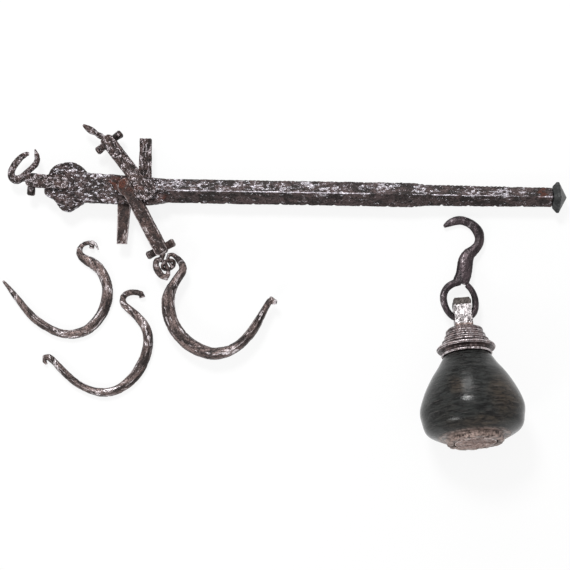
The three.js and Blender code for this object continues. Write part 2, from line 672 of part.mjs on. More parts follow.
function upperFork() {
  const holder = group(0, 0, 0, upperForkAngle);
  holder.add(...fork('upper_fork', upperForkLength, upperEyeRadius, upperCheekInner));
  const stub = group(upperForkLength, 0, 0);
  stub.add(hookStub());
  holder.add(stub);
  return holder;
}

function loadClevis() {
  const holder = group(loadPivot[0], loadPivot[1], 0, clevisAngle);
  holder.add(...fork('load_clevis', clevisLength, clevisEyeRadius, clevisCheekInner, crossWidth / 2 - 1));
  const ring = group(clevisLength, 0, 0);
  ring.add(endRing());
  holder.add(ring);
  return holder;
}

function balance() {
  const holder = group(0, 0, beamHeight);
  holder.add(beam(), endCap(), ...tongues(),
    pivotPin('upper_pivot_pin', [0, 0], upperCheekInner, 0),
    pivotPin('lower_pivot_pin', lowerPivot, lowerCheekInner, Math.PI),
    pivotPin('load_pivot_pin', loadPivot, clevisCheekInner, Math.PI),
    upperFork(), lowerFork(), loadClevis());
  return holder;
}

const layout = new THREE.Group();
const looseHooks = [looseHookA(), looseHookB()];
for (const hook of looseHooks) hook.position.z = looseDepth;
layout.add(balance(), ...looseHooks, poise());

layout.updateMatrixWorld(true);
const extent = new THREE.Box3().setFromObject(layout, true);
const middle = extent.getCenter(new THREE.Vector3());
layout.position.set(-middle.x, -middle.y, -extent.min.z);

export default layout;
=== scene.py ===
import json
from math import cos, pi, radians, sin

import bmesh
import bpy
import numpy as np
from mathutils import Matrix, Vector, noise

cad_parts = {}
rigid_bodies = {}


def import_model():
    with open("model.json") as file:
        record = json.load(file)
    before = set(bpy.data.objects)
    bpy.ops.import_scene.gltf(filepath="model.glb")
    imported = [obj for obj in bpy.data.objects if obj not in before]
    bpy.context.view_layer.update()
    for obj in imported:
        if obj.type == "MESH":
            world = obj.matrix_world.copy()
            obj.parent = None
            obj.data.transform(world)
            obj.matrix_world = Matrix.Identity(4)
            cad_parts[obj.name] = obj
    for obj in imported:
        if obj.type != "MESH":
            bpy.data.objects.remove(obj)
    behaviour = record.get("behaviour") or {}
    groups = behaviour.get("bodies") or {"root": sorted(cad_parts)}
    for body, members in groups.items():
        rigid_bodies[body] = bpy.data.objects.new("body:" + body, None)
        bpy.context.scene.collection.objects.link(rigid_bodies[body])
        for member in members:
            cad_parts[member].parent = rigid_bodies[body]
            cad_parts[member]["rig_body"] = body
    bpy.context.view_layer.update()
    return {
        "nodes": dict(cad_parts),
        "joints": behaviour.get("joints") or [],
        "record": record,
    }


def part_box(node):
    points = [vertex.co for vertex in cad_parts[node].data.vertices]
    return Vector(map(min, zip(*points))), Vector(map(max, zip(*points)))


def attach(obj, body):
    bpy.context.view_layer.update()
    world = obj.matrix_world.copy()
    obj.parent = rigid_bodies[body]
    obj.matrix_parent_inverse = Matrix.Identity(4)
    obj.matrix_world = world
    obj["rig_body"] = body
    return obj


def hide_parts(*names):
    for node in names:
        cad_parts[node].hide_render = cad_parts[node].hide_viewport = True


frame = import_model()
joints = {joint["name"]: joint for joint in frame["joints"]}
mounts = {mount["name"]: mount for mount in frame["record"]["mounts"]}
upperPivot = Vector(joints["upper_fork_pivot"]["pos_m"])  # places on the iron are given from here
mm = 0.001

# Camera and light

photoFrame = {
    "width": 570,
    "metresPerPixel": 0.0008,
    "centre": (0.1124, -0.0737),  # the middle of the picture, from the upper pivot
    "roll": 0.97,
    "lens": 100,
}


def pictureCentre():
    x, y = photoFrame["centre"]
    return upperPivot.x + x, upperPivot.y + y


def addCamera():
    data = bpy.data.cameras.new("camera")
    data.lens = photoFrame["lens"]
    data.sensor_width = 36
    data.clip_start = 0.01
    camera = bpy.data.objects.new("camera", data)
    across = photoFrame["width"] * photoFrame["metresPerPixel"]
    height = upperPivot.z + across * data.lens / data.sensor_width
    camera.location = (*pictureCentre(), height)
    camera.rotation_euler = (0, 0, radians(photoFrame["roll"]))
    bpy.context.scene.collection.objects.link(camera)
    bpy.context.scene.camera = camera


studio = {
    "world": 0.55,
    "lamps": [
        # name, where it stands and what it aims at, both from the middle of the picture, its side and power
        ("keyLamp", (-0.3, 0.9, 1.26), (0, 0, 0), 0.32, 17),
        ("backLamp", (-0.2, 1.55, 0.4), (0, 0, 0), 0.5, 6),
        ("frontLamp", (-0.78, -0.96, 0.98), (0.1, -0.1, 0), 0.42, 6),
    ],
    "floorColour": (0.86, 0.86, 0.86, 1),
    "floorGlow": 0.86,  # how much of the floor is plain white to the camera
    "floorSide": 14,
}


def seenDirectly(tree):
    path = tree.nodes.new("ShaderNodeLightPath")
    first = tree.nodes.new("ShaderNodeMath")
    first.operation = "MAXIMUM"
    tree.links.new(path.outputs["Is Camera Ray"], first.inputs[0])
    tree.links.new(path.outputs["Is Glossy Ray"], first.inputs[1])
    second = tree.nodes.new("ShaderNodeMath")
    second.operation = "MAXIMUM"
    tree.links.new(first.outputs[0], second.inputs[0])
    tree.links.new(path.outputs["Is Transmission Ray"], second.inputs[1])
    return second.outputs[0]


def addStudio():
    world = bpy.data.worlds.new("studio")
    bpy.context.scene.world = world
    world.use_nodes = True
    tree = world.node_tree
    background = tree.nodes["Background"]
    background.inputs["Color"].default_value = (1, 1, 1, 1)
    strength = tree.nodes.new("ShaderNodeMapRange")
    strength.inputs["To Min"].default_value = studio["world"]
    strength.inputs["To Max"].default_value = 1
    tree.links.new(seenDirectly(tree), strength.inputs["Value"])
    tree.links.new(strength.outputs["Result"], background.inputs["Strength"])
    middle = Vector((*pictureCentre(), 0))
    for name, place, aim, side, power in studio["lamps"]:
        data = bpy.data.lights.new(name, "AREA")
        data.size = side
        data.energy = power
        lamp = bpy.data.objects.new(name, data)
        lamp.location = middle + Vector(place)
        lamp.rotation_euler = (Vector(aim) - Vector(place)).to_track_quat("-Z", "Y").to_euler()
        bpy.context.scene.collection.objects.link(lamp)


def addFloor():
    bm = bmesh.new()
    bmesh.ops.create_grid(bm, x_segments=1, y_segments=1, size=studio["floorSide"] / 2)
    bmesh.ops.translate(bm, vec=(0, 0, -0.2 * mm), verts=bm.verts)
    mesh = bpy.data.meshes.new("floor")
    bm.to_mesh(mesh)
    bm.free()
    floor = bpy.data.objects.new("floor", mesh)
    bpy.context.scene.collection.objects.link(floor)
    material = bpy.data.materials.new("paleFloor")
    material.use_nodes = True
    tree = material.node_tree
    tree.nodes.clear()
    diffuse = tree.nodes.new("ShaderNodeBsdfDiffuse")
    diffuse.inputs["Color"].default_value = studio["floorColour"]
    glow = tree.nodes.new("ShaderNodeEmission")
    glow.inputs["Color"].default_value = (1, 1, 1, 1)
    share = tree.nodes.new("ShaderNodeMath")
    share.operation = "MULTIPLY"
    share.inputs[1].default_value = studio["floorGlow"]
    tree.links.new(seenDirectly(tree), share.inputs[0])
    mix = tree.nodes.new("ShaderNodeMixShader")
    tree.links.new(share.outputs[0], mix.inputs["Fac"])
    tree.links.new(diffuse.outputs[0], mix.inputs[1])
    tree.links.new(glow.outputs[0], mix.inputs[2])
    output = tree.nodes.new("ShaderNodeOutputMaterial")
    tree.links.new(mix.outputs[0], output.inputs["Surface"])
    mesh.materials.append(material)


# Shader groups

def newGroup(name, inputs, outputs):
    tree = bpy.data.node_groups.new(name, "ShaderNodeTree")
    kinds = {"Vector": "NodeSocketVector", "Color": "NodeSocketColor", "Value": "NodeSocketFloat"}
    for label, kind, value in inputs:
        socket = tree.interface.new_socket(label, in_out="INPUT", socket_type=kinds[kind])
        if value is not None:
            socket.default_value = value
    for label, kind in outputs:
        tree.interface.new_socket(label, in_out="OUTPUT", socket_type=kinds[kind])
    return tree, tree.nodes.new("NodeGroupInput"), tree.nodes.new("NodeGroupOutput")


def feed(tree, socket, value):
    if isinstance(value, bpy.types.NodeSocket):
        tree.links.new(value, socket)
    else:
        socket.default_value = value


def mathNode(tree, operation, first, second=0.0, clamp=False):
    node = tree.nodes.new("ShaderNodeMath")
    node.operation = operation
    node.use_clamp = clamp
    feed(tree, node.inputs[0], first)
    feed(tree, node.inputs[1], second)
    return node.outputs[0]


def rangeNode(tree, value, low, high, toLow=0.0, toHigh=1.0, smooth=True):
    node = tree.nodes.new("ShaderNodeMapRange")
    node.interpolation_type = "SMOOTHSTEP" if smooth else "LINEAR"
    feed(tree, node.inputs["Value"], value)
    feed(tree, node.inputs["From Min"], low)
    feed(tree, node.inputs["From Max"], high)
    feed(tree, node.inputs["To Min"], toLow)
    feed(tree, node.inputs["To Max"], toHigh)
    return node.outputs["Result"]


def mixColour(tree, share, first, second):
    node = tree.nodes.new("ShaderNodeMix")
    node.data_type = "RGBA"
    feed(tree, node.inputs[0], share)
    feed(tree, node.inputs[6], first)
    feed(tree, node.inputs[7], second)
    return node.outputs[2]


def noiseNode(tree, vector, scale, detail=3.0, roughness=0.6, distortion=0.0):
    node = tree.nodes.new("ShaderNodeTexNoise")
    feed(tree, node.inputs["Vector"], vector)
    feed(tree, node.inputs["Scale"], scale)
    node.inputs["Detail"].default_value = detail
    node.inputs["Roughness"].default_value = roughness
    node.inputs["Distortion"].default_value = distortion
    return node.outputs["Fac"]


def makeSpeckGroup():
    # Broken threads and specks: bare metal and painted glints on the iron, cracks on the eye. Cover is the share of
    # the surface that they take
    tree, start, end = newGroup("Specks", [("Vector", "Vector", None), ("Scale", "Value", 600),
                                           ("Cover", "Value", 0.3)],
                                [("Mask", "Value")])
    vector, scale, cover = (start.outputs[label] for label in ("Vector", "Scale", "Cover"))
    swirl = noiseNode(tree, vector, scale, 3.0, 0.55, 1.6)
    middle = mathNode(tree, "ABSOLUTE", mathNode(tree, "SUBTRACT", swirl, 0.5))
    width = rangeNode(tree, cover, 0.0, 1.0, 0.012, 0.09, smooth=False)
    outer, inner = (mathNode(tree, "MULTIPLY", width, share) for share in (1.4, 0.5))
    thread = rangeNode(tree, middle, outer, inner)
    gaps = noiseNode(tree, vector, mathNode(tree, "MULTIPLY", scale, 0.6), 2.0, 0.55, 0.8)
    level = rangeNode(tree, cover, 0.0, 1.0, 0.64, 0.38, smooth=False)
    kept = rangeNode(tree, gaps, level, mathNode(tree, "ADD", level, 0.08))
    tree.links.new(mathNode(tree, "MULTIPLY", thread, kept), end.inputs["Mask"])
    return tree


def makePitGroup():
    # Corrosion pits: small craters of two sizes with raised ground between them
    tree, start, end = newGroup("Pits", [("Vector", "Vector", None), ("Scale", "Value", 500),
                                         ("Depth", "Value", 1)],
                                [("Height", "Value"), ("Hollow", "Value")])
    warp = tree.nodes.new("ShaderNodeVectorMath")
    warp.operation = "MULTIPLY_ADD"
    wobble = tree.nodes.new("ShaderNodeTexNoise")
    tree.links.new(start.outputs["Vector"], wobble.inputs["Vector"])
    tree.links.new(start.outputs["Scale"], wobble.inputs["Scale"])
    tree.links.new(wobble.outputs["Color"], warp.inputs[0])
    warp.inputs[1].default_value = (0.0016, 0.0016, 0.0016)
    tree.links.new(start.outputs["Vector"], warp.inputs[2])
    craters = tree.nodes.new("ShaderNodeTexVoronoi")
    craters.feature = "SMOOTH_F1"
    tree.links.new(warp.outputs[0], craters.inputs["Vector"])
    tree.links.new(start.outputs["Scale"], craters.inputs["Scale"])
    bowl = rangeNode(tree, craters.outputs["Distance"], 0.1, 0.5)
    fine = noiseNode(tree, start.outputs["Vector"], mathNode(tree, "MULTIPLY", start.outputs["Scale"], 2.6),
                     4.0, 0.7)
    both = mathNode(tree, "ADD", mathNode(tree, "MULTIPLY", bowl, 0.6), mathNode(tree, "MULTIPLY", fine, 0.55))
    tree.links.new(mathNode(tree, "MULTIPLY", both, start.outputs["Depth"]), end.inputs["Height"])
    tree.links.new(rangeNode(tree, both, 0.62, 0.36), end.inputs["Hollow"])
    return tree


def makeWearAndSheenGroup():
    # Bright metal on ridges, broken up by a noise: partly wear, partly a painted highlight along the edges
    tree, start, end = newGroup("Worn ridges with sheen", [("Vector", "Vector", None), ("Ridge", "Value", 0),
                                                ("Scale", "Value", 300), ("Amount", "Value", 1)],
                                [("Mask", "Value")])
    breaks = noiseNode(tree, start.outputs["Vector"], start.outputs["Scale"], 4.0, 0.65, 0.4)
    ridge = mathNode(tree, "MULTIPLY", start.outputs["Ridge"], start.outputs["Amount"])
    lifted = mathNode(tree, "ADD", ridge, mathNode(tree, "MULTIPLY", breaks, 1.3))
    tree.links.new(rangeNode(tree, lifted, 0.98, 1.3), end.inputs["Mask"])
    return tree


def makeRustGroup():
    tree, start, end = newGroup("Rust", [("Vector", "Vector", None), ("Scale", "Value", 150),
                                         ("Amount", "Value", 0)],
                                [("Mask", "Value"), ("Color", "Color")])
    patches = noiseNode(tree, start.outputs["Vector"], start.outputs["Scale"], 5.0, 0.65, 0.3)
    lifted = mathNode(tree, "ADD", mathNode(tree, "MULTIPLY", start.outputs["Amount"], 0.62), patches)
    tree.links.new(rangeNode(tree, lifted, 0.72, 0.98), end.inputs["Mask"])
    grain = noiseNode(tree, start.outputs["Vector"], mathNode(tree, "MULTIPLY", start.outputs["Scale"], 6), 3.0)
    colour = mixColour(tree, rangeNode(tree, grain, 0.35, 0.7), (0.04, 0.016, 0.012, 1), (0.15, 0.048, 0.03, 1))
    tree.links.new(colour, end.inputs["Color"])
    return tree


groups = {"specks": makeSpeckGroup(), "pits": makePitGroup(), "wear_and_sheen": makeWearAndSheenGroup(), "rust": makeRustGroup()}
print("shader groups made")


def placeGroup(tree, name, vector, **values):
    node = tree.nodes.new("ShaderNodeGroup")
    node.node_tree = groups[name]
    tree.links.new(vector, node.inputs["Vector"])
    for label, value in values.items():
        feed(tree, node.inputs[label], value)
    return node


def attributeNode(tree, name, output="Fac"):
    node = tree.nodes.new("ShaderNodeAttribute")
    node.attribute_name = name
    return node.outputs[output]


def startMaterial(name, metallic):
    material = bpy.data.materials.new(name)
    material.use_nodes = True
    tree = material.node_tree
    shader = tree.nodes["Principled BSDF"]
    shader.inputs["Metallic"].default_value = metallic
    place = tree.nodes.new("ShaderNodeTexCoord").outputs["Object"]
    return material, tree, shader, place


def addBump(tree, shader, height, depth):
    bump = tree.nodes.new("ShaderNodeBump")
    bump.inputs["Strength"].default_value = 1
    bump.inputs["Distance"].default_value = depth
    tree.links.new(height, bump.inputs["Height"])
    tree.links.new(bump.outputs["Normal"], shader.inputs["Normal"])


def ironMaterial(name, look):
    material, tree, shader, place = startMaterial(name, look.get("metallic", 0.6))
    grain = attributeNode(tree, "grain", "Vector")
    broad = noiseNode(tree, grain, look.get("broadScale", 160), 5.0, 0.62, 0.5)
    ground = mixColour(tree, rangeNode(tree, broad, 0.4, 0.6), look["dark"], look["mid"])
    pits = placeGroup(tree, "pits", place, Scale=look.get("pitScale", 620.0))
    hollow = mathNode(tree, "MAXIMUM", mathNode(tree, "MULTIPLY", pits.outputs["Hollow"], look.get("hollow", 0.7)),
                      attributeNode(tree, "pit"))
    ground = mixColour(tree, hollow, ground, look["pit"])
    # Pale specks, threads and ridges mixed into the colour: partly bare metal and wear, partly painted glints and
    # highlights
    glint = attributeNode(tree, "glint")
    cover = mathNode(tree, "ADD", mathNode(tree, "MULTIPLY", glint, 0.75), look.get("specks", 0.1))
    speckScale = look.get("speckScale", 520.0)
    specks = placeGroup(tree, "specks", grain, Scale=speckScale, Cover=cover)
    wear_and_sheen = placeGroup(tree, "wear_and_sheen", grain, Ridge=attributeNode(tree, "wear_and_sheen"), Amount=look.get("wear_and_sheen", 0.7))
    bright = mathNode(tree, "MAXIMUM", specks.outputs["Mask"], wear_and_sheen.outputs["Mask"])
    bright = mathNode(tree, "MULTIPLY", bright, look.get("glintShare", 0.85), clamp=True)
    paleShare = rangeNode(tree, noiseNode(tree, grain, speckScale * 0.6), 0.38, 0.62)
    pale = mixColour(tree, paleShare, look["pale"], look["palest"])
    metal = mixColour(tree, bright, ground, pale)
    rustAmount = mathNode(tree, "ADD", attributeNode(tree, "rust"), look.get("rust", 0.0))
    rust = placeGroup(tree, "rust", place, Amount=rustAmount)
    colour = mixColour(tree, rust.outputs["Mask"], metal, rust.outputs["Color"])
    tree.links.new(colour, shader.inputs["Base Color"])
    rough = rangeNode(tree, bright, 0, 1, look.get("rough", 0.5), look.get("brightRough", 0.32), smooth=False)
    rough = mathNode(tree, "ADD", rough, mathNode(tree, "MULTIPLY", rust.outputs["Mask"], 0.3), clamp=True)
    tree.links.new(rough, shader.inputs["Roughness"])
    addBump(tree, shader, pits.outputs["Height"], look.get("bump", 0.5) * mm)
    return material


# Surface work on the forged pieces

def noiseAt(points, size, seed, octaves=1):
    spots = points / (size * mm) + seed
    values = (noise.fractal(Vector(spot), 1.0, 2.0, octaves) for spot in spots)
    return np.fromiter(values, float, len(spots))


def smoothStep(values, low, high):
    share = np.clip((values - low) / (high - low), 0, 1)
    return share * share * (3 - 2 * share)


def meshArrays(mesh):
    points = np.empty(len(mesh.vertices) * 3)
    mesh.vertices.foreach_get("co", points)
    normals = np.empty(len(mesh.vertices) * 3)
    mesh.vertex_normals.foreach_get("vector", normals)
    edges = np.empty(len(mesh.edges) * 2, dtype=np.int32)
    mesh.edges.foreach_get("vertices", edges)
    return points.reshape(-1, 3), normals.reshape(-1, 3), edges.reshape(-1, 2)


def neighbourMean(values, edges):
    count = len(values)
    ends = np.concatenate((edges[:, 0], edges[:, 1]))
    others = np.concatenate((edges[:, 1], edges[:, 0]))
    degree = np.maximum(np.bincount(ends, minlength=count), 1)
    if values.ndim == 1:
        return np.bincount(ends, weights=values[others], minlength=count) / degree
    columns = [np.bincount(ends, weights=values[others, axis], minlength=count) / degree for axis in range(3)]
    return np.stack(columns, axis=1)


def ridgeMask(points, normals, edges, voxel):
    bulge = -np.einsum("ij,ij->i", neighbourMean(points, edges) - points, normals) / (voxel * mm)
    for _ in range(3):
        bulge = 0.5 * bulge + 0.5 * neighbourMean(bulge, edges)
    return np.clip(bulge * 10, 0, 1)


def circleMiddle(flat):
    # The middle of the circle that fits the points best
    table = np.column_stack((flat, np.ones(len(flat))))
    answer = np.linalg.lstsq(table, (flat ** 2).sum(axis=1), rcond=None)[0]
    return answer[:2] / 2


def grainOf(local, work):
    # Coordinates that run with the forging, shortened along the piece, so that its marks come out long
    if work.get("bent"):
        offset = local[:, :2] - circleMiddle(local[:, :2])
        reach = np.hypot(offset[:, 0], offset[:, 1])
        back = offset.mean(axis=0)  # away from the hook's mouth
        turn = np.arctan2(offset[:, 1] * back[0] - offset[:, 0] * back[1], offset @ back)
        along, across = turn * np.median(reach), reach
    else:
        middle = local - local.mean(axis=0)
        _, axes = np.linalg.eigh(middle.T @ middle)
        along, across = middle @ axes[:, 2], middle @ axes[:, 1]
    return np.column_stack((along * work.get("stretch", 0.4), across, local[:, 2]))


def spotMask(points, spots):
    # Soft patches: x, y, half length and half width in mm, and strength
    total = np.zeros(len(points))
    for x, y, length, width, strength in spots:
        far = ((points[:, 0] - x * mm) / (length * mm)) ** 2 + ((points[:, 1] - y * mm) / (width * mm)) ** 2
        total = np.maximum(total, strength * np.exp(-far))
    return total


def setAttribute(mesh, name, values):
    attribute = mesh.attributes.new(name, "FLOAT", "POINT")
    attribute.data.foreach_set("value", values.astype(np.float32))


def setVector(mesh, name, values):
    attribute = mesh.attributes.new(name, "FLOAT_VECTOR", "POINT")
    attribute.data.foreach_set("vector", values.astype(np.float32).ravel())


def remeshed(name, bm, voxel, relax):
    # The shape as an even skin of small squares, with its edges softened
    mesh = bpy.data.meshes.new(name)
    bm.to_mesh(mesh)
    bm.free()
    rough = bpy.data.objects.new(name + "_rough", mesh)
    bpy.context.scene.collection.objects.link(rough)
    skin = rough.modifiers.new("skin", "REMESH")
    skin.mode = "VOXEL"
    skin.voxel_size = voxel * mm
    bpy.context.view_layer.update()
    fine = bpy.data.meshes.new_from_object(rough.evaluated_get(bpy.context.evaluated_depsgraph_get()))
    bpy.data.objects.remove(rough)
    bm = bmesh.new()
    bm.from_mesh(fine)
    for _ in range(relax):
        bmesh.ops.smooth_vert(bm, verts=bm.verts, factor=0.5, use_axis_x=True, use_axis_y=True, use_axis_z=True)
    bm.to_mesh(fine)
    bm.free()
    fine.name = name
    return fine


def hammer(mesh, work, low, high):
    # Forging dents, scale and corrosion pits, all cut into the surface, and the masks that the finish reads
    points, normals, edges = meshArrays(mesh)
    local = points - np.array(upperPivot)
    seed = work.get("seed", 0) * 7.31
    onHead = np.zeros(len(points))
    if "head" in work:
        onHead = smoothStep(-local[:, 0], -work["head"]["end"] * mm, (6 - work["head"]["end"]) * mm)
    zone = 1 + onHead * work.get("head", {}).get("rougher", 0)
    headGlint = onHead * work.get("head", {}).get("glint", 0)
    dents = noiseAt(points, work.get("dentSize", 9), seed, 2) * work.get("dent", 0.2)
    scale = noiseAt(points, work.get("scaleSize", 2.6), seed + 3.7, 2) * work.get("scale", 0.12)
    craters = smoothStep(noiseAt(points, work.get("pitSize", 1.7), seed + 9.1, 2), 0.18, 0.55)
    cut = (dents + scale) * zone - craters * work.get("pit", 0.2) * zone - work.get("shrink", 0.0)
    cut = np.minimum(cut, work.get("proud", 0.1))
    ridge = ridgeMask(points, normals, edges, work["voxel"])
    if "crest" in work:
        # On the arm the ridge mask is kept mostly where the surface faces up: a painted highlight along the lit top
        # edge, over the real edge wear
        onArm = smoothStep(local[:, 0], work["crest"] * mm, (work["crest"] + 6) * mm)
        ridge *= 0.3 + 0.7 * onArm * smoothStep(normals[:, 2], 0.55, 0.85)
    points = points + normals * (cut * mm)[:, None]
    points = np.clip(points, np.array(low), np.array(high))
    mesh.vertices.foreach_set("co", points.ravel())
    mesh.update()
    setAttribute(mesh, "wear_and_sheen", ridge)
    setAttribute(mesh, "pit", np.clip(craters * work.get("pitDark", 0.7), 0, 1))
    setAttribute(mesh, "glint", np.maximum(spotMask(local, work.get("glints", [])), headGlint))
    setAttribute(mesh, "rust", spotMask(local, work.get("rusts", [])))
    setVector(mesh, "grain", grainOf(local, work))


def bodyOf(node):
    return frame["nodes"][node]["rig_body"]


def finishPiece(name, mesh, node, material):
    mesh.materials.clear()
    mesh.materials.append(material)
    mesh.shade_smooth()
    piece = bpy.data.objects.new(name, mesh)
    bpy.context.scene.collection.objects.link(piece)
    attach(piece, bodyOf(node))
    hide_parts(node)
    return piece


def forge(node, work, material):
    bm = bmesh.new()
    bm.from_mesh(frame["nodes"][node].data)
    bmesh.ops.remove_doubles(bm, verts=bm.verts, dist=1e-6)
    name = node + "_forged"
    mesh = remeshed(name, bm, work["voxel"], work.get("relax", 2))
    low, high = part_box(node)
    hammer(mesh, work, low, high)
    return finishPiece(name, mesh, node, material)


# Finishes of the iron

headIron = ironMaterial("headIron", {
    "dark": (0.014, 0.009, 0.008, 1), "mid": (0.062, 0.039, 0.035, 1), "pit": (0.005, 0.003, 0.003, 1),
    "pale": (0.21, 0.15, 0.15, 1), "palest": (0.62, 0.56, 0.59, 1),
    "specks": 0.55, "speckScale": 820.0, "wear_and_sheen": 0.45, "rough": 0.5, "rust": 0.08, "bump": 0.8,
})
armIron = ironMaterial("armIron", {
    "dark": (0.016, 0.011, 0.01, 1), "mid": (0.072, 0.049, 0.048, 1), "pit": (0.006, 0.004, 0.004, 1),
    "pale": (0.4, 0.35, 0.39, 1), "palest": (0.88, 0.85, 0.92, 1),
    "specks": 0.16, "speckScale": 760.0, "wear_and_sheen": 0.72, "rough": 0.45, "rust": 0.08, "bump": 0.6,
})
brownIron = ironMaterial("brownIron", {
    "dark": (0.018, 0.011, 0.01, 1), "mid": (0.066, 0.04, 0.035, 1), "pit": (0.008, 0.005, 0.005, 1),
    "pale": (0.2, 0.16, 0.16, 1), "palest": (0.5, 0.44, 0.44, 1),
    "specks": 0.3, "speckScale": 400.0, "wear_and_sheen": 0.7, "rough": 0.46, "rust": 0.1, "bump": 0.35,
})
hookIron = ironMaterial("hookIron", {
    "dark": (0.018, 0.012, 0.011, 1), "mid": (0.15, 0.108, 0.1, 1), "pit": (0.008, 0.005, 0.005, 1),
    "pale": (0.36, 0.3, 0.3, 1), "palest": (0.76, 0.7, 0.72, 1), "broadScale": 230,
    "specks": 0.4, "speckScale": 340.0, "wear_and_sheen": 0.7, "rough": 0.4, "rust": 0.06, "bump": 0.4,
})
purpleIron = ironMaterial("purpleIron", {
    "dark": (0.014, 0.009, 0.011, 1), "mid": (0.058, 0.041, 0.046, 1), "pit": (0.008, 0.005, 0.006, 1),
    "pale": (0.2, 0.16, 0.18, 1), "palest": (0.5, 0.44, 0.46, 1),
    "specks": 0.1, "speckScale": 360.0, "wear_and_sheen": 0.6, "rough": 0.38, "bump": 0.25,
})
capIron = ironMaterial("capIron", {
    "dark": (0.018, 0.02, 0.02, 1), "mid": (0.05, 0.052, 0.052, 1), "pit": (0.01, 0.01, 0.01, 1),
    "pale": (0.16, 0.15, 0.16, 1), "palest": (0.3, 0.28, 0.3, 1),
    "specks": 0.0, "wear_and_sheen": 0.35, "rough": 0.36, "bump": 0.12,
})
print("iron finishes made")

# Beam, its end cap and its tongues

beamWork = {
    "voxel": 0.62, "seed": 1, "dent": 0.3, "scale": 0.2, "pit": 0.34, "shrink": -0.05, "proud": 0.25,
    "stretch": 0.6,
    "head": {"end": 17, "rougher": 1.2, "glint": 0.36},  # left of this place the head is rougher and paler, with more pale specks, partly painted glints
    "crest": 14,  # from here on the arm's upward-facing top edge is brightened: wear and a painted highlight
    # Patches where the pale specks crowd, most of them on the arm's upper facet: painted glints where the light falls,
    # partly bare metal
    "glints": [
        (12, 4, 8, 5, 0.9), (26, 6, 7, 5, 1.0), (42, 4, 10, 4, 0.7), (60, 4, 9, 4, 0.6),
        (76, 5, 8, 4, 0.7), (90, 4, 10, 4, 0.9), (108, 3, 9, 4, 0.8), (128, 6, 9, 4, 0.9),
        (146, 3, 12, 4, 0.7), (174, 5, 10, 4, 0.6), (192, 6, 9, 4, 0.9), (222, 4, 12, 4, 0.6),
        (262, 2, 10, 4, 0.7), (284, 3, 9, 4, 1.0), (300, 4, 7, 4, 0.5),
        (-58, 14, 12, 2.5, 0.8), (-38, 12, 12, 2.5, 0.8), (-23, 8, 10, 6, 0.5), (-64, -12, 5, 4, 0.5),
    ],
    "rusts": [(-20, 6, 14, 10, 0.55), (318, 2, 8, 8, 0.45), (12, -4, 8, 8, 0.3)],
}
capWork = {"voxel": 0.34, "seed": 2, "dent": 0.12, "dentSize": 6, "scale": 0.05, "pit": 0.08, "relax": 4}
tongueWork = {
    "voxel": 0.36, "seed": 3, "dent": 0.26, "dentSize": 7, "scale": 0.14, "pit": 0.2, "relax": 3,
    "shrink": -0.12, "proud": 0.25,
}
pinWork = {"voxel": 0.3, "seed": 4, "dent": 0.05, "scale": 0.04, "pit": 0.05}

forge("beam", beamWork, armIron)
forge("end_cap", capWork, capIron)
forge("upper_tongue", tongueWork, headIron)
forge("lower_tongue", {**tongueWork, "seed": 5}, brownIron)
for pin in ("upper_pivot_pin", "lower_pivot_pin", "load_pivot_pin"):
    forge(pin, pinWork, brownIron)
print("beam done")

# Poise, in its own frame: the axis of its eye's hole is the origin, its own axis is Y

def poiseFrame():
    hinge = joints["poise_hook_swing"]
    across = Vector(hinge["axis"]).normalized()
    up = -Vector(mounts["poise_foot"]["axis"]).normalized()
    place = Matrix((across, up, across.cross(up))).transposed().to_4x4()
    place.translation = Vector(hinge["pos_m"])
    return place


def spline(points, steps):
    # A smooth line through the points
    line = []
    for index in range(len(points) - 1):
        four = [np.array(points[min(max(index + step, 0), len(points) - 1)], float) for step in (-1, 0, 1, 2)]
        for share in np.arange(steps) / steps:
            first, second = (four[2] - four[0]) / 2, (four[3] - four[1]) / 2
            line.append(four[1] + first * share
                        + (3 * (four[2] - four[1]) - 2 * first - second) * share ** 2
                        + (2 * (four[1] - four[2]) + first + second) * share ** 3)
    line.append(np.array(points[-1], float))
    return line


def rounded(points, soft):
    # The same closed outline with small arcs in place of its corners
    line = []
    for index, corner in enumerate(points):
        before, after = points[index - 1], points[(index + 1) % len(points)]
        ends = []
        for other in (before, after):
            run = other - corner
            length = max(np.linalg.norm(run), 1e-9)
            ends.append(corner + run * min(soft / length, 0.4))
        line += [ends[0], (ends[0] + 2 * corner + ends[1]) / 4, ends[1]]
    return line


def spun(name, outline, steps):
    # A closed outline of radius and height in mm, turned once round the poise's axis
    bm = bmesh.new()
    rim = [bm.verts.new((radius * mm, height * mm, 0)) for radius, height in outline]
    edges = [bm.edges.new((rim[index - 1], rim[index])) for index in range(len(rim))]
    bmesh.ops.spin(bm, geom=rim + edges, cent=(0, 0, 0), axis=(0, 1, 0), angle=2 * pi, steps=steps,
                   use_merge=True, use_duplicate=False)
    bmesh.ops.remove_doubles(bm, verts=bm.verts, dist=1e-6)
    bmesh.ops.recalc_face_normals(bm, faces=bm.faces)
    mesh = bpy.data.meshes.new(name)
    bm.to_mesh(mesh)
    bm.free()
    return mesh


shellWork = {
    "foot": -104.6,  # height of the foot's face in the poise's frame
    "height": 71.3,
    "footRadius": 22.6,
    "footHeight": 5,
    "leadRadius": 16.8,
    "wall": 3.9,
    "body": [(27.5, 5), (37.4, 11), (40.4, 20), (41, 29), (36.9, 41), (30.6, 53), (23.9, 62.8), (18.8, 71.3)],
    "roof": 62.6,  # inside, over the lead
    "spigot": 8.3,
    "steps": 160,
    "dent": 0.12, "dentSize": 16, "seed": 51,
    "ragged": 1.1,  # how far the foot's rim is eaten away
    "patches": [(-13, -66, 7, 10, 0.7), (25, -74, 14, 20, 0.75), (-24, -84, 9, 10, 0.35), (2, -96, 30, 5, 0.6)],
}


def placeTurned(mesh, toWorld):
    # The turned shape as it lies, with its own coordinates kept for its material
    points, _, _ = meshArrays(mesh)
    setVector(mesh, "turned", points)
    mesh.transform(toWorld)
    mesh.update()
    return points


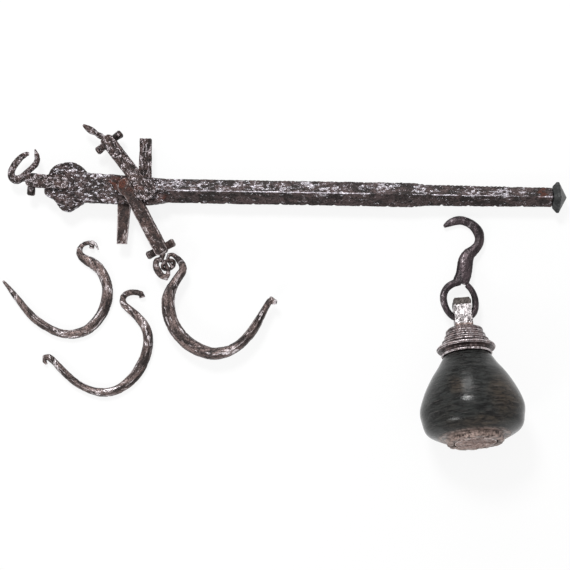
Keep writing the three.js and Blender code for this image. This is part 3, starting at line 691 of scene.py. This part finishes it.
def buildShell():
    work = shellWork
    body = spline(work["body"], 10)
    inside = [point - np.array((work["wall"], 0)) for point in body if 6 < point[1] < work["roof"] - 2]
    outline = [(work["leadRadius"], 0), (work["footRadius"] - 0.6, 0), (work["footRadius"], 1.2),
               (work["footRadius"], work["footHeight"] - 0.6), (work["footRadius"] + 0.8, work["footHeight"])]
    outline += body + [(work["spigot"], work["height"]), (work["spigot"], work["roof"])]
    outline += inside[::-1] + [(work["leadRadius"], work["footHeight"] - 0.3)]
    outline = rounded([np.array(point, float) for point in outline], 0.5)
    outline = [(radius, height + work["foot"]) for radius, height in outline]
    mesh = spun("poise_shell_turned", outline, work["steps"])
    own = placeTurned(mesh, poiseFrame())
    points, normals, _ = meshArrays(mesh)
    dents = noiseAt(points, work["dentSize"], work["seed"], 2) * work["dent"] - work["dent"]
    rim = smoothStep(-own[:, 1], (-work["foot"] - 3.2) * mm, -work["foot"] * mm)
    eaten = np.clip(noiseAt(own, 4.5, work["seed"] + 5, 3) + 0.35, 0, 1) * work["ragged"] * rim
    points = points + normals * ((dents - eaten) * mm)[:, None]
    low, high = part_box("poise_shell")
    points = np.clip(points, np.array(low), np.array(high))
    mesh.vertices.foreach_set("co", points.ravel())
    mesh.update()
    setAttribute(mesh, "patch", spotMask(own, work["patches"]))
    setAttribute(mesh, "rim", smoothStep(-own[:, 1], (-work["foot"] - 6.5) * mm, (-work["foot"] - 4) * mm))
    finishPiece(mesh.name, mesh, "poise_shell", bronzeMaterial())


def bronzeMaterial():
    material, tree, shader, place = startMaterial("darkBronze", 0.2)
    shader.inputs["Specular IOR Level"].default_value = 0.24
    own = tree.nodes.new("ShaderNodeAttribute")
    own.attribute_name = "turned"
    stretch = tree.nodes.new("ShaderNodeVectorMath")
    stretch.operation = "MULTIPLY"
    tree.links.new(own.outputs["Vector"], stretch.inputs[0])
    stretch.inputs[1].default_value = (90, 1200, 90)
    lines = noiseNode(tree, stretch.outputs[0], 1.0, 5.0, 0.65, 0.3)
    bands = tree.nodes.new("ShaderNodeVectorMath")
    bands.operation = "MULTIPLY"
    tree.links.new(own.outputs["Vector"], bands.inputs[0])
    bands.inputs[1].default_value = (110, 420, 110)
    broad = noiseNode(tree, bands.outputs[0], 1.0, 6.0, 0.72, 0.5)
    green = mixColour(tree, rangeNode(tree, broad, 0.38, 0.62), (0.003, 0.003, 0.003, 1), (0.024, 0.026, 0.025, 1))
    brownShare = mathNode(tree, "ADD", attributeNode(tree, "patch"),
                          mathNode(tree, "SUBTRACT", noiseNode(tree, place, 45, 5.0, 0.62, 0.4), 0.62))
    brown = mixColour(tree, rangeNode(tree, broad, 0.4, 0.6), (0.006, 0.004, 0.003, 1), (0.052, 0.038, 0.026, 1))
    colour = mixColour(tree, rangeNode(tree, brownShare, 0.0, 0.6, 0, 0.8), green, brown)
    colour = mixColour(tree, rangeNode(tree, lines, 0.54, 0.7, 0, 0.45), colour, (0.11, 0.1, 0.095, 1))
    pits = placeGroup(tree, "pits", place, Scale=700.0)
    colour = mixColour(tree, mathNode(tree, "MULTIPLY", pits.outputs["Hollow"], 0.35), colour, (0.012, 0.01, 0.009, 1))
    rawShare = rangeNode(tree, noiseNode(tree, place, 300, 5.0, 0.68), 0.36, 0.64)
    raw = mixColour(tree, rawShare, (0.03, 0.019, 0.015, 1), (0.4, 0.3, 0.265, 1))
    colour = mixColour(tree, attributeNode(tree, "rim"), colour, raw)
    tree.links.new(colour, shader.inputs["Base Color"])
    rough = rangeNode(tree, lines, 0.35, 0.7, 0.12, 0.26)
    rough = mathNode(tree, "ADD", rough, mathNode(tree, "MULTIPLY", attributeNode(tree, "rim"), 0.2), clamp=True)
    tree.links.new(rough, shader.inputs["Roughness"])
    height = mathNode(tree, "ADD", mathNode(tree, "MULTIPLY", lines, 0.6),
                      mathNode(tree, "MULTIPLY", pits.outputs["Height"], 0.5))
    addBump(tree, shader, height, 0.14 * mm)
    return material


# The neck's ring ridges are turned pale: wear and painted highlights on the rings
silverLook = {
    "dark": (0.04, 0.028, 0.028, 1), "mid": (0.15, 0.112, 0.11, 1), "pit": (0.012, 0.008, 0.008, 1),
    "pale": (0.42, 0.34, 0.34, 1), "palest": (0.8, 0.74, 0.76, 1), "broadScale": 150,
    "specks": 0.08, "speckScale": 400.0, "wear_and_sheen": 1.0, "rough": 0.36, "brightRough": 0.24, "bump": 0.3,
}


def eyeMaterial():
    # Nearly white crackled faces between a dark cap and a brown foot
    material, tree, shader, place = startMaterial("crackledSilver", 0.5)
    wobble = noiseNode(tree, place, 700, 4.0, 0.7)
    crack = placeGroup(tree, "specks", place, Scale=520.0, Cover=0.62).outputs["Mask"]
    white = mixColour(tree, noiseNode(tree, place, 260, 4.0, 0.6), (0.28, 0.24, 0.24, 1), (0.78, 0.75, 0.76, 1))
    face = mixColour(tree, crack, white, (0.035, 0.025, 0.025, 1))
    brown = mixColour(tree, noiseNode(tree, place, 300, 4.0, 0.6), (0.05, 0.03, 0.024, 1), (0.3, 0.22, 0.2, 1))
    face = mixColour(tree, attributeNode(tree, "footShare"), face, brown)
    cap = mixColour(tree, noiseNode(tree, place, 260, 4.0, 0.6), (0.02, 0.016, 0.015, 1), (0.085, 0.07, 0.062, 1))
    tree.links.new(mixColour(tree, attributeNode(tree, "capShare"), face, cap), shader.inputs["Base Color"])
    shader.inputs["Roughness"].default_value = 0.42
    height = mathNode(tree, "ADD", mathNode(tree, "MULTIPLY", crack, -0.7), mathNode(tree, "MULTIPLY", wobble, 0.5))
    addBump(tree, shader, height, 0.3 * mm)
    return material


neckWork = {
    "voxel": 0.32, "seed": 52, "dent": 0.3, "dentSize": 6, "scale": 0.14, "pit": 0.14, "relax": 1,
    "shrink": -0.1, "proud": 0.2, "stretch": 1,
}
eyeWork = {
    "voxel": 0.32, "seed": 53, "dent": 0.22, "dentSize": 5, "scale": 0.18, "pit": 0.22, "relax": 2,
    "shrink": -0.1, "proud": 0.2,
}
leadWork = {
    "voxel": 0.7, "seed": 54, "dent": 0.5, "dentSize": 7, "scale": 0.4, "pit": 0.5, "relax": 2, "proud": 0.25,
}
eyeBands = {"capStart": 8.0, "footEnd": -6.9, "wobble": 0.9}


def buildEye():
    piece = forge("poise_eye", eyeWork, eyeMaterial())
    points, _, _ = meshArrays(piece.data)
    toOwn = np.array(poiseFrame().inverted())
    height = (points @ toOwn[:3, :3].T + toOwn[:3, 3])[:, 1] / mm
    height = height + noiseAt(points, 2.2, 60, 3) * eyeBands["wobble"]
    start, end = eyeBands["capStart"], eyeBands["footEnd"]
    setAttribute(piece.data, "capShare", smoothStep(height, start, start + 0.5))
    setAttribute(piece.data, "footShare", smoothStep(-height, -end, 1.2 - end))


buildShell()
buildEye()
forge("poise_neck", neckWork, ironMaterial("ringedSilver", silverLook))
forge("poise_lead_core", leadWork, ironMaterial("rawLead", {
    "dark": (0.13, 0.08, 0.065, 1), "mid": (0.36, 0.25, 0.22, 1), "pit": (0.03, 0.02, 0.018, 1),
    "pale": (0.5, 0.4, 0.37, 1), "palest": (0.8, 0.72, 0.7, 1), "broadScale": 160, "metallic": 0.4,
    "specks": 0.3, "speckScale": 300.0, "wear_and_sheen": 0.7, "rough": 0.5, "bump": 0.6,
}))
print("poise done")

# Forks and clevis

forkWork = {
    "voxel": 0.36, "dent": 0.3, "dentSize": 8, "scale": 0.16, "pit": 0.28, "relax": 2,
    "shrink": -0.12, "proud": 0.25, "stretch": 0.7,
}
rivetWork = {"voxel": 0.22, "dent": 0.06, "dentSize": 3, "scale": 0.05, "pit": 0.06, "relax": 2}
forkLooks = {"upper_fork": headIron, "lower_fork": brownIron, "load_clevis": headIron}

forkRusts = {"upper_fork": [(-7, 0, 8, 8, 0.35)], "lower_fork": [(-16, 4, 9, 9, 0.5)], "load_clevis": []}

for count, (prefix, finish) in enumerate(forkLooks.items()):
    for step, part in enumerate(("front_cheek", "back_cheek", "crosshead")):
        work = {**forkWork, "seed": 10 + 3 * count + step, "rusts": forkRusts[prefix]}
        forge(f"{prefix}_{part}", work, finish)
    for step, part in enumerate(("front_rivet", "back_rivet")):
        forge(f"{prefix}_{part}", {**rivetWork, "seed": 30 + 2 * count + step}, finish)
print("forks done")

# Rings, chain and hooks

ringWork = {
    "voxel": 0.3, "dent": 0.24, "dentSize": 4, "scale": 0.14, "pit": 0.16, "relax": 4,
    "shrink": -0.2, "proud": 0.28, "bent": True, "stretch": 0.7,
}
hookWork = {
    "voxel": 0.4, "dent": 0.3, "dentSize": 9, "scale": 0.14, "pit": 0.18, "relax": 1,
    "shrink": -0.2, "proud": 0.28, "bent": True, "stretch": 0.25,
}

forge("upper_hook_stub", {**ringWork, "seed": 40, "bent": False}, headIron)
forge("end_ring", {**ringWork, "seed": 41, "voxel": 0.34, "shrink": 0, "proud": 0.05}, headIron)
forge("lower_swivel_ring", {**ringWork, "seed": 42}, hookIron)
forge("link_ring", {**ringWork, "seed": 43}, brownIron)
forge("suspension_hook", {**hookWork, "seed": 44}, hookIron)
forge("loose_hook_a", {**hookWork, "seed": 45, "voxel": 0.38}, hookIron)
forge("loose_hook_b", {**hookWork, "seed": 46, "voxel": 0.38}, hookIron)
poiseHookWork = {**hookWork, "seed": 47, "voxel": 0.34, "dent": 0.15, "scale": 0.06, "pit": 0.08, "bent": False}
forge("poise_hook", poiseHookWork, purpleIron)
print("hooks done")

addCamera()
addStudio()
addFloor()
bpy.context.scene.view_settings.view_transform = "Standard"
